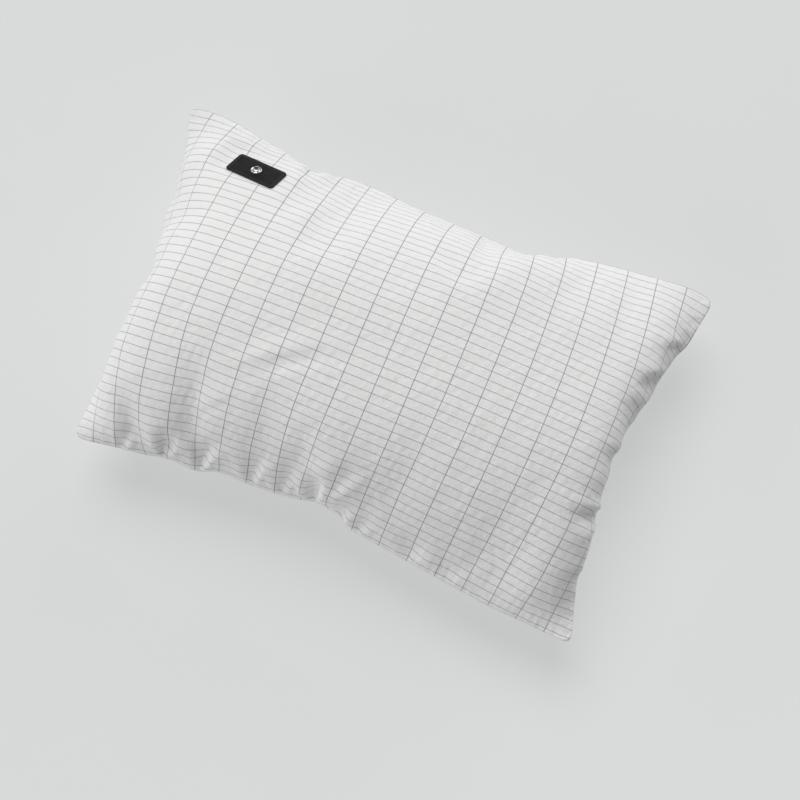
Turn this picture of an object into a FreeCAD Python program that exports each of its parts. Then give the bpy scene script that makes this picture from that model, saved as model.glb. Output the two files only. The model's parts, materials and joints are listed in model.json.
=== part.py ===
import FreeCAD, Part
import math
import os
import Sketcher

# Camp pillow: a zipped cloth cover with a contact patch and press stud, round a filled insert.
# The pillow lies on its back panel. X runs along its length, +Y towards the patch's long edge, Z up.
# The origin is the centre of the footprint, on the surface the pillow rests on. Millimetres.

DIMENSIONS = {
    # filled cover
    "cover_length": 600.0,
    "cover_width": 400.0,
    "seam_height": 80.0,
    "front_crown": 103.0,
    "back_crown": 102.0,
    "left_pull": 18.0,
    "right_pull": 31.0,
    "top_pull": 20.0,
    "bottom_pull": 33.0,
    "cover_cloth": 1.0,
    # insert
    "insert_inset": 14.0,
    "insert_gap": 2.2,
    "hardware_room": 5.6,
    "ticking_cloth": 0.8,
    "fill_gap": 0.6,
    "seam_near": 3.0,
    "seam_far": 8.0,
    "insert_seam_near": 10.5,
    "insert_seam_far": 13.6,
    "seam_thread": 1.6,
    # contact patch
    "patch_x": -209.0,
    "patch_y": 150.5,
    "patch_height": 117.0,
    "patch_tilt_x": 32.5,
    "patch_tilt_y": -8.0,
    "patch_turn": -14.0,
    "patch_length": 62.0,
    "patch_width": 31.0,
    "patch_corner": 4.0,
    "patch_thickness": 1.8,
    "patch_edge": 0.6,
    "patch_lift": 0.4,
    "patch_flat_length": 70.0,
    "patch_flat_width": 34.0,
    "patch_blend": 16.0,
    "stitch_loop_length": 55.8,
    "stitch_loop_width": 24.8,
    "stitch_thread": 0.5,
    "stitch_lift": 0.2,
    "backing_length": 66.0,
    "backing_width": 35.0,
    "backing_cloth": 0.6,
    "backing_level": -1.8,
    # press stud
    "rivet_hole": 1.7,
    "stud_flange": 6.25,
    "stud_bead": 5.5,
    "stud_groove": 4.6,
    "stud_neck": 3.2,
    "stud_throat": 2.7,
    "stud_lip": 3.0,
    "flange_edge": 0.7,
    "flange_crest": 1.3,
    "flange_floor": 0.6,
    "throat_floor": 0.8,
    "stud_shoulder": 3.3,
    "stud_top": 3.6,
    "washer_radius": 6.0,
    "washer_thickness": 0.6,
    "washer_level": -2.5,
    "post_level": -3.3,
    "post_disc": 5.5,
    "post_disc_edge": 0.7,
    "post_shank": 1.55,
    "post_bore": 1.0,
    "post_bore_floor": 3.0,
    "post_flare": 2.4,
    "post_flare_low": 6.4,
    "post_top": 7.0,
    # zip
    "zip_y": -130.0,
    "zip_height": 28.5,
    "zip_turn": 144.0,
    "zip_flat_length": 384.0,
    "zip_flat_width": 28.0,
    "zip_blend": 16.0,
    "zip_length": 340.0,
    "slot_length": 356.0,
    "slot_width": 13.0,
    "slot_depth": 12.0,
    "tape_length": 376.0,
    "tape_width": 13.0,
    "tape_cloth": 0.6,
    "tape_level": -2.0,
    "tape_offset": 7.5,
    "coil_width": 2.6,
    "coil_thickness": 2.2,
    "coil_offset": 1.9,
    "coil_level": -1.4,
    "coil_round": 0.8,
    "topstitch_offset": 9.0,
    "topstitch_length": 350.0,
    "stop_length": 3.0,
    "top_stop_width": 3.0,
    "bottom_stop_width": 6.4,
    "stop_thickness": 3.0,
    "stop_level": -1.1,
    "stop_round": 0.5,
    "stop_offset": 172.0,
    "tack_length": 2.0,
    "tack_width": 12.0,
    "tack_offset": 183.0,
    # slider
    "slider_length": 10.4,
    "slider_width": 9.2,
    "plate_thickness": 1.2,
    "plate_round": 2.2,
    "outer_plate_level": 1.4,
    "inner_plate_level": -3.4,
    "flange_width": 1.0,
    "flange_length": 8.0,
    "flange_reach": 2.25,
    "flange_offset": 4.1,
    "web_width": 0.6,
    "web_length": 3.0,
    "web_height": 3.6,
    "arch_foot": 3.2,
    "arch_shoulder": 2.4,
    "arch_head": 1.6,
    "arch_shoulder_height": 2.6,
    "arch_top": 3.4,
    "arch_window": 1.6,
    "arch_window_low": 0.3,
    "arch_window_high": 2.8,
    "arch_width": 1.6,
    "slider_rest": 164.4,
    # pull tab
    "hinge_height": 1.4,
    "tab_thickness": 1.2,
    "tab_bar": 0.6,
    "tab_eye": 4.2,
    "tab_eye_half": 1.3,
    "tab_neck": 2.4,
    "tab_side": 3.0,
    "tab_neck_end": 6.5,
    "tab_side_start": 9.0,
    "tab_side_end": 18.5,
    "tab_tip": 2.0,
    "tab_length": 20.0,
    "tab_round": 0.25,
}

# Grid lines of a skin along its length and across its width, and how far they crowd to the ends
ROWS = 91
COLUMNS = 65
CROWDING = 0.8
# The skin rises from the seam as a power of the distance from each pair of sides
LENGTH_POWER = 0.5
WIDTH_POWER = 0.76
# The back is pressed flat where it would sink below the floor; the cut that trims it sinks a little
SOFT_CLIP = 0.1
SINK = 0.5
# The seam thread stops short of the corners
SEAM_SHARE = 0.9
SEAM_POINTS = 25

document = FreeCAD.newDocument("camp_pillow")
sheet = document.addObject("Spreadsheet::Sheet", "Dimensions")
for row, (alias, amount) in enumerate(DIMENSIONS.items(), start=1):
    sheet.set("A%d" % row, alias)
    sheet.set("B%d" % row, str(amount))
    sheet.setAlias("B%d" % row, alias)
document.recompute()

subparts = []


def size(alias):
    return float(getattr(sheet, alias))


def number(terms):
    """Value of a sum of named dimensions, such as 'patch_lift + patch_thickness'."""
    total, sign = 0.0, 1.0
    for word in terms.split():
        if word in ("+", "-"):
            sign = 1.0 if word == "+" else -1.0
        else:
            total += sign * size(word)
    return total


def bound(terms):
    """The same sum, written as a document expression."""
    words = [w if w in ("+", "-") else "Dimensions." + w for w in terms.split()]
    return " ".join(words)


def bind(target, path, terms):
    target.setExpression(path, bound(terms))


def keep(part, label):
    part.Label = label
    subparts.append(part)
    return part


# ---------------------------------------------------------------- sketches and bodies

def new_body(name):
    return document.addObject("PartDesign::Body", name)


def sketch_on(body, role, name, level=None):
    plane = [f for f in body.Origin.OriginFeatures if f.Role == role][0]
    sketch = body.newObject("Sketcher::SketchObject", name)
    sketch.AttachmentSupport = [(plane, "")]
    sketch.MapMode = "FlatFace"
    if level:
        bind(sketch, "AttachmentOffset.Base.z", level)
    return sketch


def polygon(sketch, corners):
    """Closed outline through corners given as pairs of sums; an empty sum lies on that axis."""
    places = []
    for across, up in corners:
        x = number(across) if across else 0.0
        y = number(up) if up else 0.0
        places.append(FreeCAD.Vector(x, y, 0))
    count = len(places)
    first = sketch.GeometryCount
    for i in range(count):
        sketch.addGeometry(Part.LineSegment(places[i], places[(i + 1) % count]), False)
    for i in range(count):
        sketch.addConstraint(Sketcher.Constraint("Coincident", first + i, 2, first + (i + 1) % count, 1))
    for i, (across, up) in enumerate(corners):
        if across:
            index = sketch.addConstraint(Sketcher.Constraint("DistanceX", -1, 1, first + i, 1, places[i].x))
            bind(sketch, "Constraints[%d]" % index, across)
        else:
            sketch.addConstraint(Sketcher.Constraint("PointOnObject", first + i, 1, -2))
        if up:
            index = sketch.addConstraint(Sketcher.Constraint("DistanceY", -1, 1, first + i, 1, places[i].y))
            bind(sketch, "Constraints[%d]" % index, up)
        else:
            sketch.addConstraint(Sketcher.Constraint("PointOnObject", first + i, 1, -1))


def rectangle(sketch, length, width):
    """Rectangle centred on the sketch's origin."""
    a = number(length) / 2
    b = number(width) / 2
    places = [FreeCAD.Vector(x, y, 0) for x, y in ((-a, -b), (a, -b), (a, b), (-a, b))]
    first = sketch.GeometryCount
    for i in range(4):
        sketch.addGeometry(Part.LineSegment(places[i], places[(i + 1) % 4]), False)
        sketch.addConstraint(Sketcher.Constraint("Horizontal" if i % 2 == 0 else "Vertical", first + i))
    for i in range(4):
        sketch.addConstraint(Sketcher.Constraint("Coincident", first + i, 2, first + (i + 1) % 4, 1))
    sketch.addConstraint(Sketcher.Constraint("Symmetric", first, 1, first + 2, 1, -1, 1))
    long_side = sketch.addConstraint(Sketcher.Constraint("DistanceX", first, 1, first, 2, 2 * a))
    bind(sketch, "Constraints[%d]" % long_side, length)
    short_side = sketch.addConstraint(Sketcher.Constraint("DistanceY", first + 1, 1, first + 1, 2, 2 * b))
    bind(sketch, "Constraints[%d]" % short_side, width)


def circle(sketch, radius):
    ring = sketch.addGeometry(Part.Circle(FreeCAD.Vector(), FreeCAD.Vector(0, 0, 1), number(radius)), False)
    sketch.addConstraint(Sketcher.Constraint("Coincident", ring, 3, -1, 1))
    index = sketch.addConstraint(Sketcher.Constraint("Radius", ring, number(radius)))
    bind(sketch, "Constraints[%d]" % index, radius)


def pad(body, sketch, length, name, centred=False):
    feature = body.newObject("PartDesign::Pad", name)
    feature.Profile = sketch
    bind(feature, "Length", length)
    if centred:
        feature.SideType = "Symmetric"
    sketch.Visibility = False
    document.recompute()
    return feature


def round_edges(body, base, radius, chosen, name):
    """Fillet the base feature's edges for which chosen(edge) is true."""
    names = ["Edge%d" % (i + 1) for i, edge in enumerate(base.Shape.Edges) if chosen(edge)]
    feature = body.newObject("PartDesign::Fillet", name)
    feature.Base = (base, names)
    bind(feature, "Radius", radius)
    document.recompute()
    return feature


def runs_along(edge, direction):
    ends = [v.Point for v in edge.Vertexes]
    if len(ends) < 2:
        return False
    run = ends[1] - ends[0]
    return run.Length > 1e-6 and abs(run.normalize().dot(direction)) > 0.999


def upright(edge):
    return runs_along(edge, FreeCAD.Vector(0, 0, 1))


def lengthwise(edge):
    return runs_along(edge, FreeCAD.Vector(1, 0, 0))


def plate(name, length, width, thickness, level, hole=None, corner=None):
    """Flat rectangular plate, centred, from level upwards, with an optional hole and corner radius."""
    body = new_body(name)
    sketch = sketch_on(body, "XY_Plane", name + "_outline", level)
    rectangle(sketch, length, width)
    if hole:
        circle(sketch, hole)
    last = pad(body, sketch, thickness, name + "_pad")
    if corner:
        last = round_edges(body, last, corner, upright, name + "_corners")
    return body, last


def turned(name, corners):
    """Body turned about Z from an outline of (radius, height) sums."""
    body = new_body(name)
    sketch = sketch_on(body, "XZ_Plane", name + "_profile")
    polygon(sketch, corners)
    feature = body.newObject("PartDesign::Revolution", name + "_turn")
    feature.Profile = sketch
    feature.ReferenceAxis = (sketch, ["V_Axis"])
    feature.Angle = 360
    sketch.Visibility = False
    document.recompute()
    return body


# ---------------------------------------------------------------- places on the cover

def zip_placement(x=0.0, y=0.0, z=0.0):
    """Local X along the zip, local Z out of the back of the cover."""
    turn = FreeCAD.Rotation(FreeCAD.Vector(1, 0, 0), size("zip_turn"))
    base = FreeCAD.Placement(FreeCAD.Vector(0, size("zip_y"), size("zip_height")), turn)
    return base.multiply(FreeCAD.Placement(FreeCAD.Vector(x, y, z), FreeCAD.Rotation()))


def patch_placement(z=0.0):
    """Local X along the patch, local Z out of the front of the cover."""
    tilt = FreeCAD.Rotation(FreeCAD.Vector(1, 0, 0), -size("patch_tilt_x"))
    lean = FreeCAD.Rotation(FreeCAD.Vector(0, 1, 0), size("patch_tilt_y"))
    place = FreeCAD.Vector(size("patch_x"), size("patch_y"), size("patch_height"))
    turn = FreeCAD.Rotation(FreeCAD.Vector(0, 0, 1), size("patch_turn"))
    base = FreeCAD.Placement(place, tilt.multiply(lean).multiply(turn))
    return base.multiply(FreeCAD.Placement(FreeCAD.Vector(0, 0, z), FreeCAD.Rotation()))


class Flat:
    """A flat place on a skin: a plane that the skin meets inside a rectangle and leaves smoothly."""

    def __init__(self, placement, length, width, blend):
        self.centre = placement.Base
        self.normal = placement.Rotation.multVec(FreeCAD.Vector(0, 0, 1))
        along = placement.Rotation.multVec(FreeCAD.Vector(1, 0, 0))
        self.along = FreeCAD.Vector(along.x, along.y, 0).normalize()
        self.half_x = size(length) / 2
        self.half_y = size(width) / 2
        self.blend = size(blend)

    def share(self, x, y):
        dx = x - self.centre.x
        dy = y - self.centre.y
        past_x = max(0.0, abs(dx * self.along.x + dy * self.along.y) - self.half_x)
        past_y = max(0.0, abs(dy * self.along.x - dx * self.along.y) - self.half_y)
        reach = math.hypot(past_x, past_y) / self.blend
        if reach >= 1.0:
            return 0.0
        return 1.0 - reach * reach * (3.0 - 2.0 * reach)

    def height(self, x, y, depth):
        """Height of the plane at x, y, moved inwards along its normal by depth."""
        rise = self.normal.x * (x - self.centre.x) + self.normal.y * (y - self.centre.y) + depth
        return self.centre.z - rise / self.normal.z


patch_flat = Flat(patch_placement(), "patch_flat_length", "patch_flat_width", "patch_blend")
zip_flat = Flat(zip_placement(), "zip_flat_length", "zip_flat_width", "zip_blend")


# ---------------------------------------------------------------- skins

def plan(u, v, inset):
    """Point of the outline family at u, v from -1 to 1: a rectangle whose sides pull in."""
    half_length = size("cover_length") / 2
    half_width = size("cover_width") / 2
    pull_x = ((1 + u) * size("right_pull") + (1 - u) * size("left_pull")) / 2 / half_length
    pull_y = ((1 + v) * size("top_pull") + (1 - v) * size("bottom_pull")) / 2 / half_width
    x = (half_length - inset) * u * (1 - pull_x * (1 - v * v))
    y = (half_width - inset) * v * (1 - pull_y * (1 - u * u))
    return x, y


def spread(count):
    """Values from -1 to 1, closer together near the ends."""
    steps = [2.0 * i / (count - 1) - 1.0 for i in range(count)]
    return [CROWDING * math.sin(math.pi * t / 2) + (1 - CROWDING) * t for t in steps]


def bulge_at(u, v):
    """Share of the full crown reached at u, v: none on the seam, all of it in the middle."""
    return max(0.0, 1 - u * u) ** LENGTH_POWER * max(0.0, 1 - v * v) ** WIDTH_POWER


def front_height(x, y, bulge, depth, flat_depth):
    z = size("seam_height") + (size("front_crown") - depth) * bulge
    share = patch_flat.share(x, y) if bulge > 0 else 0.0
    return z + share * (patch_flat.height(x, y, flat_depth) - z)


def back_height(x, y, bulge, depth, flat_depth):
    floor = size("seam_height") + SINK - depth
    drop = (size("back_crown") - depth) * bulge / floor
    if drop > 1 + SOFT_CLIP:
        drop = 1.0
    elif drop > 1 - SOFT_CLIP:
        drop -= (drop - 1 + SOFT_CLIP) ** 2 / (4 * SOFT_CLIP)
    z = size("seam_height") - floor * drop
    share = zip_flat.share(x, y) if bulge > 0 else 0.0
    return z + share * (zip_flat.height(x, y, flat_depth) - z)


def skin(height, inset, depth, flat_depth):
    """Curved face over the whole outline, inset at the seam and depth inside the outer skin."""
    grid = []
    for u in spread(ROWS):
        line = []
        for v in spread(COLUMNS):
            x, y = plan(u, v, inset)
            line.append(FreeCAD.Vector(x, y, height(x, y, bulge_at(u, v), depth, flat_depth)))
        grid.append(line)
    return surface_through(grid).toShape()


def curve_through(places):
    curve = Part.BSplineCurve()
    curve.interpolate(Points=places, Parameters=[i / (len(places) - 1) for i in range(len(places))])
    return curve


def surface_through(grid):
    """Cubic surface through a grid of points, fitted along its lines and then across them."""
    along = [curve_through(line) for line in grid]
    across = [curve_through(list(places)) for places in zip(*[curve.getPoles() for curve in along])]
    poles = [list(line) for line in zip(*[curve.getPoles() for curve in across])]
    surface = Part.BSplineSurface()
    surface.buildFromPolesMultsKnots(
        poles, across[0].getMultiplicities(), along[0].getMultiplicities(),
        across[0].getKnots(), along[0].getKnots(), False, False, across[0].Degree, along[0].Degree)
    return surface


def closed(faces):
    shell = Part.makeShell(faces)
    shell.sewShape()
    solid = Part.makeSolid(shell)
    if solid.Volume < 0:
        solid.reverse()
    return solid


def rim(face):
    return Part.Wire(Part.sortEdges(face.Edges)[0])


def layer(height, inset, depth, cloth, flat_depth):
    """One sheet of cloth: outer and inner skins joined by a flat ring in the plane of the seam."""
    outer = skin(height, inset, depth, flat_depth)
    inner = skin(height, inset + 2 * cloth, depth + cloth, flat_depth + cloth)
    ring = Part.makeFace([rim(outer), rim(inner)], "Part::FaceMakerBullseye")
    return closed([outer, inner, ring])


def feature(name, shape):
    part = document.addObject("Part::Feature", name)
    part.Shape = shape
    return part


def seam_strip(near, far, side):
    """Flat strip of seam along one side, stopping short of the corners."""
    reach = [SEAM_SHARE * (2.0 * i / (SEAM_POINTS - 1) - 1.0) for i in range(SEAM_POINTS)]
    edges = []
    for inset in (near, far):
        places = []
        for t in reach:
            u, v = {"left": (-1, t), "right": (1, t), "top": (t, 1), "bottom": (t, -1)}[side]
            x, y = plan(u, v, inset)
            places.append(FreeCAD.Vector(x, y, size("seam_height") - size("seam_thread") / 2))
        curve = Part.BSplineCurve()
        curve.interpolate(places)
        edges.append(curve.toShape())
    face = Part.makeRuledSurface(edges[0], edges[1])
    return face.extrude(FreeCAD.Vector(0, 0, size("seam_thread")))


def seam_strips(near, far):
    return Part.makeCompound([seam_strip(near, far, side) for side in ("left", "right", "top", "bottom")])


def box(name, length, width, height, placement):
    """Box centred in local X and Y on the placement, from its plane upwards."""
    part = document.addObject("Part::Box", name)
    bind(part, "Length", length)
    bind(part, "Width", width)
    bind(part, "Height", height)
    shift = FreeCAD.Vector(-number(length) / 2, -number(width) / 2, 0)
    part.Placement = placement.multiply(FreeCAD.Placement(shift, FreeCAD.Rotation()))
    return part


def boolean(kind, name, base, tool):
    part = document.addObject("Part::" + kind, name)
    part.Base = base
    part.Tool = tool
    return part


# ---------------------------------------------------------------- cover

def make_cover():
    cloth = size("cover_cloth")
    front = feature("front_skin", layer(front_height, 0.0, 0.0, cloth, 0.0))
    drill = document.addObject("Part::Cylinder", "rivet_hole_tool")
    bind(drill, "Radius", "rivet_hole")
    bind(drill, "Height", "slot_depth")
    drill.Placement = patch_placement(-size("slot_depth") / 2)
    keep(boolean("Cut", "front_panel", front, drill), "cover_front_panel")

    back = feature("back_skin", layer(back_height, 0.0, 0.0, cloth, 0.0))
    under = document.addObject("Part::Box", "floor_tool")
    bind(under, "Length", "cover_length")
    bind(under, "Width", "cover_width")
    bind(under, "Height", "slot_depth")
    corner = FreeCAD.Vector(-size("cover_length") / 2, -size("cover_width") / 2, -size("slot_depth"))
    under.Placement = FreeCAD.Placement(corner, FreeCAD.Rotation())
    rested = boolean("Cut", "rested_back", back, under)
    slot = box("slot_tool", "slot_length", "slot_width", "slot_depth",
               zip_placement(z=-size("slot_depth") / 2))
    slotted = boolean("Cut", "slotted_back", rested, slot)
    seam_side = document.addObject("Part::Box", "seam_side_tool")
    bind(seam_side, "Length", "cover_length")
    bind(seam_side, "Width", "cover_width")
    bind(seam_side, "Height", "cover_length")
    corner = FreeCAD.Vector(-size("cover_length") / 2, size("zip_y") - size("cover_width"),
                            -size("cover_length") / 2)
    seam_side.Placement = FreeCAD.Placement(corner, FreeCAD.Rotation())
    keep(boolean("Cut", "back_main", slotted, seam_side), "cover_back_main_panel")
    keep(boolean("Common", "back_strip", slotted, seam_side), "cover_back_zip_strip")
    keep(feature("cover_seam", seam_strips(size("seam_near"), size("seam_far"))), "cover_seam_overlock")


# ---------------------------------------------------------------- insert

def make_insert():
    inset = size("insert_inset")
    gap = size("insert_gap")
    cloth = size("ticking_cloth")
    room = size("hardware_room")
    keep(feature("insert_front", layer(front_height, inset, gap, cloth, room)), "insert_front_ticking")
    keep(feature("insert_back", layer(back_height, inset, gap, cloth, room)), "insert_back_ticking")
    strips = seam_strips(size("insert_seam_near"), size("insert_seam_far"))
    keep(feature("insert_seam", strips), "insert_seam_thread")
    inside = cloth + size("fill_gap")
    upper = skin(front_height, inset + 3 * cloth, gap + inside, room + inside)
    lower = skin(back_height, inset + 3 * cloth, gap + inside, room + inside)
    keep(feature("fill", closed([upper, lower])), "insert_fill")


# ---------------------------------------------------------------- contact patch and press stud

def make_patch():
    body, top = plate("patch", "patch_length", "patch_width", "patch_thickness", "patch_lift",
                      hole="rivet_hole", corner="patch_corner")
    crest = number("patch_lift + patch_thickness")

    def outer_rim(edge):
        extent = edge.BoundBox
        past_stud = max(abs(extent.XMax), abs(extent.XMin)) > size("stud_flange")
        return extent.ZMin > crest - 1e-6 and past_stud
    round_edges(body, top, "patch_edge", outer_rim, "patch_rim")
    body.Placement = patch_placement()
    keep(body, "contact_patch")

    body, _ = plate("backing", "backing_length", "backing_width", "backing_cloth", "backing_level",
                    hole="rivet_hole", corner="patch_corner")
    body.Placement = patch_placement()
    keep(body, "contact_patch_backing")


def make_patch_stitching():
    body = new_body("patch_stitch")
    sketch = sketch_on(body, "XY_Plane", "patch_stitch_outline", "patch_lift + patch_thickness")
    both_sides = " + stitch_thread + stitch_thread"
    rectangle(sketch, "stitch_loop_length" + both_sides, "stitch_loop_width" + both_sides)
    rectangle(sketch, "stitch_loop_length", "stitch_loop_width")
    pad(body, sketch, "stitch_thread", "patch_stitch_pad")
    body.Placement = patch_placement()
    keep(body, "contact_patch_stitching")


def make_press_stud():
    stud = turned("stud", [
        ("rivet_hole", ""), ("stud_flange", ""), ("stud_flange", "flange_edge"),
        ("stud_bead", "flange_crest"), ("stud_groove", "flange_floor"), ("stud_neck", "flange_floor"),
        ("stud_neck", "stud_shoulder"), ("stud_lip", "stud_top"), ("stud_throat", "stud_shoulder"),
        ("stud_throat", "throat_floor"), ("rivet_hole", "throat_floor")])
    stud.Placement = patch_placement(number("patch_lift + patch_thickness"))
    keep(stud, "snap_stud")

    post = turned("post", [
        ("", ""), ("post_disc", ""), ("post_disc", "post_disc_edge"), ("post_shank", "post_disc_edge"),
        ("post_shank", "post_flare_low"), ("post_flare", "post_flare_low"), ("post_flare", "post_top"),
        ("post_bore", "post_top"), ("post_bore", "post_bore_floor"), ("", "post_bore_floor")])
    post.Placement = patch_placement(size("post_level"))
    keep(post, "snap_rivet_post")

    washer = new_body("washer")
    sketch = sketch_on(washer, "XY_Plane", "washer_outline", "washer_level")
    circle(sketch, "washer_radius")
    circle(sketch, "rivet_hole")
    pad(washer, sketch, "washer_thickness", "washer_pad")
    washer.Placement = patch_placement()
    keep(washer, "snap_backing_washer")


# ---------------------------------------------------------------- zip

def make_zip_side(side, sign):
    body, _ = plate("tape_" + side, "tape_length", "tape_width", "tape_cloth", "tape_level")
    body.Placement = zip_placement(y=sign * size("tape_offset"))
    keep(body, "zip_tape_" + side)

    body, last = plate("coil_" + side, "zip_length", "coil_width", "coil_thickness", "coil_level")
    round_edges(body, last, "coil_round", lengthwise, "coil_round_" + side)
    body.Placement = zip_placement(y=sign * size("coil_offset"))
    keep(body, "zip_coil_" + side)

    body, _ = plate("topstitch_" + side, "topstitch_length", "stitch_thread", "stitch_thread", "stitch_lift")
    body.Placement = zip_placement(y=sign * size("topstitch_offset"))
    keep(body, "zip_topstitch_" + side)


def stop(name, width, x, y):
    body, last = plate(name, "stop_length", width, "stop_thickness", "stop_level")
    round_edges(body, last, "stop_round", lambda edge: True, name + "_round")
    body.Placement = zip_placement(x=x, y=y)
    return body


def group(name, label, parts):
    compound = document.addObject("Part::Compound", name)
    compound.Links = parts
    keep(compound, label)


def make_zip_ends():
    end = size("stop_offset")
    tops = [stop("top_stop_%d" % i, "top_stop_width", end, sign * size("coil_offset"))
            for i, sign in enumerate((-1, 1))]
    group("top_stops", "zip_top_stops", tops)
    keep(stop("bottom_stop", "bottom_stop_width", -end, 0.0), "zip_bottom_stop")
    tacks = []
    for i, sign in enumerate((-1, 1)):
        body, _ = plate("bar_tack_%d" % i, "tack_length", "tack_width", "stitch_thread", "stitch_lift")
        body.Placement = zip_placement(x=sign * size("tack_offset"))
        tacks.append(body)
    group("bar_tacks", "zip_bar_tacks", tacks)


def make_slider():
    body = new_body("slider")
    sketch = sketch_on(body, "XY_Plane", "outer_plate_outline", "outer_plate_level")
    rectangle(sketch, "slider_length", "slider_width")
    outer = pad(body, sketch, "plate_thickness", "outer_plate")
    outer = round_edges(body, outer, "plate_round", upright, "outer_plate_corners")

    for i, sign in enumerate(("", "-")):
        sketch = sketch_on(body, "XY_Plane", "flange_outline_%d" % i)
        sketch.setExpression("AttachmentOffset.Base.y", sign + "Dimensions.flange_offset")
        sketch.setExpression("AttachmentOffset.Base.z",
                             "Dimensions.outer_plate_level - Dimensions.flange_reach")
        rectangle(sketch, "flange_length", "flange_width")
        pad(body, sketch, "flange_reach", "flange_%d" % i)

    sketch = sketch_on(body, "XY_Plane", "web_outline", "outer_plate_level - web_height")
    rectangle(sketch, "web_length", "web_width")
    pad(body, sketch, "web_height", "web")

    sketch = sketch_on(body, "XY_Plane", "inner_plate_outline", "inner_plate_level")
    rectangle(sketch, "slider_length", "slider_width")
    pad(body, sketch, "plate_thickness", "inner_plate")

    sketch = sketch_on(body, "XZ_Plane", "arch_outline")
    top = "outer_plate_level + plate_thickness"
    polygon(sketch, [
        ("arch_foot", top), ("arch_shoulder", top + " + arch_shoulder_height"),
        ("arch_head", top + " + arch_top"), ("", top + " + arch_top"),
        ("", top + " + arch_window_high"), ("arch_window", top + " + arch_window_high"),
        ("arch_window", top + " + arch_window_low"), ("", top + " + arch_window_low"), ("", top)])
    half = pad(body, sketch, "arch_width", "arch_half", centred=True)
    mirror = body.newObject("PartDesign::Mirrored", "arch")
    mirror.Originals = [half]
    mirror.MirrorPlane = ([f for f in body.Origin.OriginFeatures if f.Role == "YZ_Plane"][0], [""])
    body.Tip = mirror
    document.recompute()
    body.Placement = zip_placement(x=size("slider_rest"))
    keep(body, "zip_slider_body")


def make_pull_tab():
    """The tab hangs straight out of the slider, so its plate stands along local Z from the hinge bar."""
    body = new_body("pull_tab")
    sketch = sketch_on(body, "YZ_Plane", "tab_outline")
    one_side = [("tab_neck", "- tab_bar"), ("tab_neck", "tab_neck_end"), ("tab_side", "tab_side_start"),
                ("tab_side", "tab_side_end"), ("tab_tip", "tab_length")]
    other_side = [("- " + across, up) for across, up in reversed(one_side)]
    polygon(sketch, one_side + other_side)
    polygon(sketch, [("- tab_eye_half", "tab_bar"), ("tab_eye_half", "tab_bar"),
                     ("tab_eye_half", "tab_eye"), ("- tab_eye_half", "tab_eye")])
    last = pad(body, sketch, "tab_thickness", "tab_plate", centred=True)
    round_edges(body, last, "tab_round", lambda edge: True, "tab_edges")
    hinge = number("outer_plate_level + plate_thickness + hinge_height")
    body.Placement = zip_placement(x=size("slider_rest"), z=hinge)
    keep(body, "zip_pull_tab")


def report_state():
    document.recompute()
    for item in document.Objects:
        if "Invalid" in item.State or "Error" in item.State:
            raise RuntimeError("%s is %s" % (item.Name, item.State))
    for part in subparts:
        if part.Shape.isNull() or not part.Shape.isValid():
            raise RuntimeError("%s has a bad shape" % part.Label)


make_cover()
make_insert()
make_patch()
make_patch_stitching()
make_press_stud()
make_zip_side("strip", 1)
make_zip_side("main", -1)
make_zip_ends()
make_slider()
make_pull_tab()
report_state()

os.makedirs("parts", exist_ok=True)
for part in subparts:
    part.Shape.exportStep("parts/%s.step" % part.Label)
    print("%-26s %10.1f mm3  %d solids" % (part.Label, part.Shape.Volume, len(part.Shape.Solids)))
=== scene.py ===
import json
import math

import bpy
import numpy as np
from mathutils import Matrix, Vector


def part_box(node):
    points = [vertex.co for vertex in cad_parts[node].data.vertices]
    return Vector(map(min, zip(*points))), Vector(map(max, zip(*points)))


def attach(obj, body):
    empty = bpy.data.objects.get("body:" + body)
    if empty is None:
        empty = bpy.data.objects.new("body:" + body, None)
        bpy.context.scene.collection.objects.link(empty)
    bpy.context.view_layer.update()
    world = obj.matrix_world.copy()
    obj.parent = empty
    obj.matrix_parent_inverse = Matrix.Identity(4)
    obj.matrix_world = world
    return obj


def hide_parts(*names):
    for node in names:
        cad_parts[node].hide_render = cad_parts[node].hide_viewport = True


# Camp pillow. The cover is two flat panels sewn together and blown up by a cloth simulation, and every
# other soft piece is built on that shape. Metres, with lengths that read better in millimetres as n * MM.

MM = 0.001
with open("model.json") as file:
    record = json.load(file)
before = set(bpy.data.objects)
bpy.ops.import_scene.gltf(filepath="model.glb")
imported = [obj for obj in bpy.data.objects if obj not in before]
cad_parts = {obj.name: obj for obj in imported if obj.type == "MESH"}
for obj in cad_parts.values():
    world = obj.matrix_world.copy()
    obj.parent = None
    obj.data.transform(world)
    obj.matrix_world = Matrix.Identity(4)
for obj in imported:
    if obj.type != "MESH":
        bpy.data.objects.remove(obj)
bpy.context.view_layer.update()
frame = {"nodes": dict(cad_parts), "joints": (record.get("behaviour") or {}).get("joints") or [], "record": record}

# ---- sizes

# The cover's flat size, its cloth, the hems along the zip, and the fineness of its panels.
FLAT_LENGTH = 655 * MM
FLAT_WIDTH = 435 * MM
HALF_LENGTH = FLAT_LENGTH / 2
HALF_WIDTH = FLAT_WIDTH / 2
CLOTH = 0.6 * MM
HEM_CLOTH = 1.3 * MM
HEM = 9 * MM
SEAM_GAP = 0.15 * MM
PANEL_COLUMNS = 320
PANEL_ROWS = 212

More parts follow.
